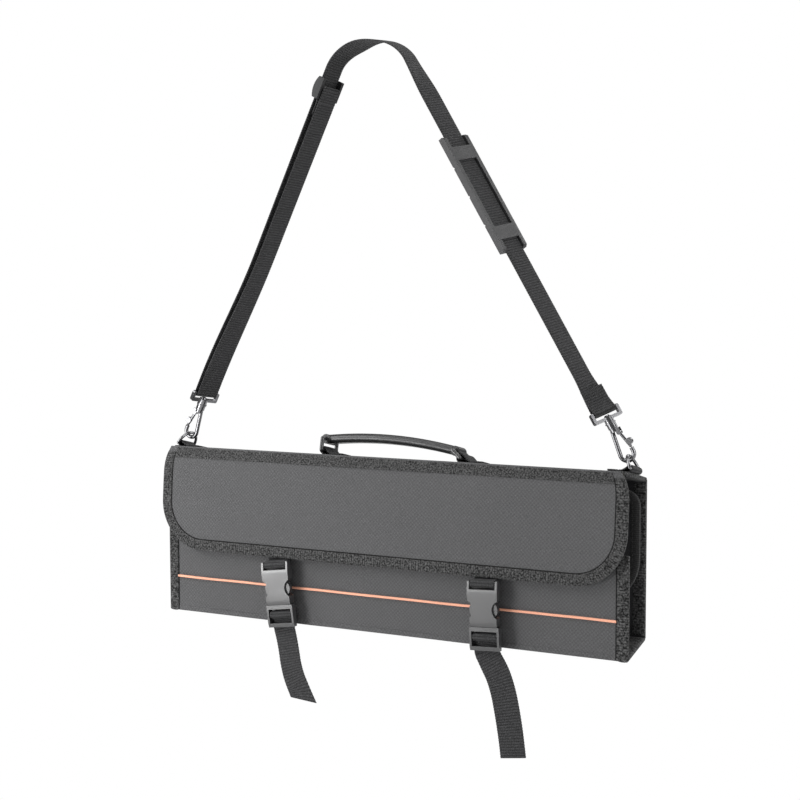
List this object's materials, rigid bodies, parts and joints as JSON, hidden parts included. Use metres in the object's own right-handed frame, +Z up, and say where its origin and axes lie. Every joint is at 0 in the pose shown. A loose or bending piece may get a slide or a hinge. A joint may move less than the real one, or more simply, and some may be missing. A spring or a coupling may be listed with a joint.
{
  "type": "hard chef knife case",
  "caption": "Hard fabric case for kitchen knives with a fold-over lid, side-release buckles, a carry handle and an adjustable clip-on shoulder strap with a pad.",
  "frame": {"origin": "underside of the shoulder strap's crown, where the case hangs from a hook or a hand", "axes": "+X along the case to its right end, +Y from the front to the back, +Z up"},
  "size_m": [0.504, 0.07, 0.6719],
  "materials": {
    "case_fabric": "matt coated weave",
    "board": "matt stiffening board",
    "lining": "matt weave",
    "binding": "ribbed tape",
    "piping": "smooth cord",
    "webbing": "ribbed weave",
    "grip": "satin",
    "pad": "matt",
    "plastic": "satin",
    "metal": "satin nickel plate"
  },
  "bodies": {
    "strap": {"shoulder_strap": "webbing", "strap_return": "webbing", "left_swivel": "metal", "right_swivel": "metal"},
    "slider": {"strap_slider": "plastic"},
    "pad": {"shoulder_pad": "pad"},
    "left_hook": {"left_hook": "metal"},
    "right_hook": {"right_hook": "metal"},
    "left_gate": {"left_gate": "metal"},
    "right_gate": {"right_gate": "metal"},
    "top": {"top_cover": "case_fabric", "top_board": "board", "top_lining": "lining", "top_binding": "binding", "left_ring_tab": "webbing", "right_ring_tab": "webbing", "handle_tabs": "webbing"},
    "left_ring": {"left_d_ring": "metal"},
    "right_ring": {"right_d_ring": "metal"},
    "left_loop": {"left_handle_loop": "plastic"},
    "grip": {"handle_grip": "grip"},
    "right_loop": {"right_handle_loop": "plastic"},
    "lid": {"lid_cover": "case_fabric", "lid_board": "board", "lid_lining": "lining", "lid_binding": "binding", "lid_fold_band": "binding", "left_lid_web": "webbing", "right_lid_web": "webbing", "left_socket": "plastic", "right_socket": "plastic"},
    "left_arm_outer": {"left_arm_outer": "plastic"},
    "left_arm_inner": {"left_arm_inner": "plastic"},
    "right_arm_inner": {"right_arm_inner": "plastic"},
    "right_arm_outer": {"right_arm_outer": "plastic"},
    "back": {"back_cover": "case_fabric", "back_board": "board", "back_lining": "lining", "back_binding": "binding", "knife_sleeves": "lining", "flap_header": "lining"},
    "flap": {"inner_flap": "case_fabric", "flap_binding": "binding"},
    "base": {"base_cover": "case_fabric", "base_board": "board", "base_lining": "lining", "base_binding": "binding"},
    "front": {"front_cover": "case_fabric", "front_skirt": "case_fabric", "front_piping": "piping", "front_board": "board", "front_lining": "lining", "front_binding": "binding", "tool_pocket": "lining", "left_plug": "plastic", "right_plug": "plastic", "left_front_web": "webbing", "right_front_web": "webbing"}
  },
  "joints": [
    {"name": "slider_slide", "type": "slide", "parent": "strap", "child": "slider", "axis": [-0.4258, 0, -0.9048], "range_m": [0, 0.15], "deforming": ["strap_return"]},
    {"name": "pad_slide", "type": "slide", "parent": "strap", "child": "pad", "axis": [0.5075, 0, -0.8616], "range_m": [-0.06, 0.1]},
    {"name": "left_swivel_turn", "type": "hinge", "parent": "strap", "child": "left_hook", "pos_m": [-0.21554, -0.00122, -0.38882], "axis": [0.4258, 0, 0.9048], "range_deg": [-10, 10]},
    {"name": "right_swivel_turn", "type": "hinge", "parent": "strap", "child": "right_hook", "pos_m": [0.26338, -0.00122, -0.38882], "axis": [-0.5075, 0, 0.8616], "range_deg": [-10, 10]},
    {"name": "left_gate_hinge", "type": "hinge", "parent": "left_hook", "child": "left_gate", "pos_m": [-0.20912, -0.00122, -0.36719], "axis": [0, -1, 0], "range_deg": [0, 25], "stiffness_Nm_per_rad": 0.05, "springref_deg": -11.46},
    {"name": "right_gate_hinge", "type": "hinge", "parent": "right_hook", "child": "right_gate", "pos_m": [0.25499, -0.00122, -0.36788], "axis": [0, 1, 0], "range_deg": [0, 25], "stiffness_Nm_per_rad": 0.05, "springref_deg": -11.46},
    {"name": "case_swing", "type": "hinge", "parent": "strap", "child": "top", "pos_m": [0.02392, -0.00122, -0.38882], "axis": [1, 0, 0], "range_deg": [-15, 15]},
    {"name": "left_ring_hinge", "type": "hinge", "parent": "top", "child": "left_ring", "pos_m": [-0.22208, -0.00122, -0.40119], "axis": [0, 0.9754, -0.2204], "range_deg": [-3, 3]},
    {"name": "right_ring_hinge", "type": "hinge", "parent": "top", "child": "right_ring", "pos_m": [0.26992, -0.00122, -0.40119], "axis": [0, 0.9754, -0.2204], "range_deg": [-3, 3]},
    {"name": "handle_loop_swing", "type": "hinge", "parent": "top", "child": "left_loop", "pos_m": [-0.04908, -0.00091, -0.39983], "axis": [0, 0.9754, -0.2204], "range_deg": [0, 50]},
    {"name": "handle_grip_hinge", "type": "hinge", "parent": "left_loop", "child": "grip", "pos_m": [-0.04908, 0.00155, -0.3889], "axis": [0, 0.9754, -0.2204], "range_deg": [-60, 0]},
    {"name": "handle_right_loop_hinge", "type": "hinge", "parent": "grip", "child": "right_loop", "pos_m": [0.09334, 0.00045, -0.39378], "axis": [0, 0.9754, -0.2204], "range_deg": [0, 60]},
    {"name": "lid_hinge", "type": "hinge", "parent": "top", "child": "lid", "pos_m": [0.02392, -0.02724, -0.40003], "axis": [-1, 0, 0], "range_deg": [0, 180]},
    {"name": "back_hinge", "type": "hinge", "parent": "top", "child": "back", "pos_m": [0.02392, 0.02276, -0.41133], "axis": [1, 0, 0], "range_deg": [0, 77.3]},
    {"name": "flap_hinge", "type": "hinge", "parent": "back", "child": "flap", "pos_m": [0.02392, 0.00816, -0.42063], "axis": [-1, 0, 0], "range_deg": [0, 85]},
    {"name": "bottom_hinge", "type": "hinge", "parent": "back", "child": "base", "pos_m": [0.02392, 0.02276, -0.56163], "axis": [1, 0, 0], "range_deg": [0, 78.7]},
    {"name": "front_hinge", "type": "hinge", "parent": "base", "child": "front", "pos_m": [0.02392, -0.02724, -0.57163], "axis": [1, 0, 0], "range_deg": [0, 101.3]},
    {"name": "left_outer_squeeze", "type": "hinge", "parent": "lid", "child": "left_arm_outer", "pos_m": [-0.08983, -0.03874, -0.5494], "axis": [0, 1, 0], "range_deg": [0, 8], "stiffness_Nm_per_rad": 0.5, "springref_deg": -2.86},
    {"name": "left_inner_squeeze", "type": "hinge", "parent": "lid", "child": "left_arm_inner", "pos_m": [-0.07795, -0.03874, -0.54773], "axis": [0, -1, 0], "range_deg": [0, 8], "stiffness_Nm_per_rad": 0.5, "springref_deg": -2.86},
    {"name": "right_inner_squeeze", "type": "hinge", "parent": "lid", "child": "right_arm_inner", "pos_m": [0.13288, -0.03874, -0.54819], "axis": [0, 1, 0], "range_deg": [0, 8], "stiffness_Nm_per_rad": 0.5, "springref_deg": -2.86},
    {"name": "right_outer_squeeze", "type": "hinge", "parent": "lid", "child": "right_arm_outer", "pos_m": [0.14486, -0.03874, -0.54756], "axis": [0, -1, 0], "range_deg": [0, 8], "stiffness_Nm_per_rad": 0.5, "springref_deg": -2.86}
  ],
  "couplings": [
    {"joint": "handle_grip_hinge", "follows": "handle_loop_swing", "ratio": -1.064},
    {"joint": "handle_right_loop_hinge", "follows": "handle_loop_swing", "ratio": 1.139},
    {"joint": "flap_hinge", "follows": "lid_hinge", "ratio": 0.47222},
    {"joint": "bottom_hinge", "follows": "lid_hinge", "ratio": 0.43722},
    {"joint": "front_hinge", "follows": "lid_hinge", "ratio": 0.56278},
    {"joint": "left_inner_squeeze", "follows": "left_outer_squeeze", "ratio": 1},
    {"joint": "right_inner_squeeze", "follows": "right_outer_squeeze", "ratio": 1}
  ]
}
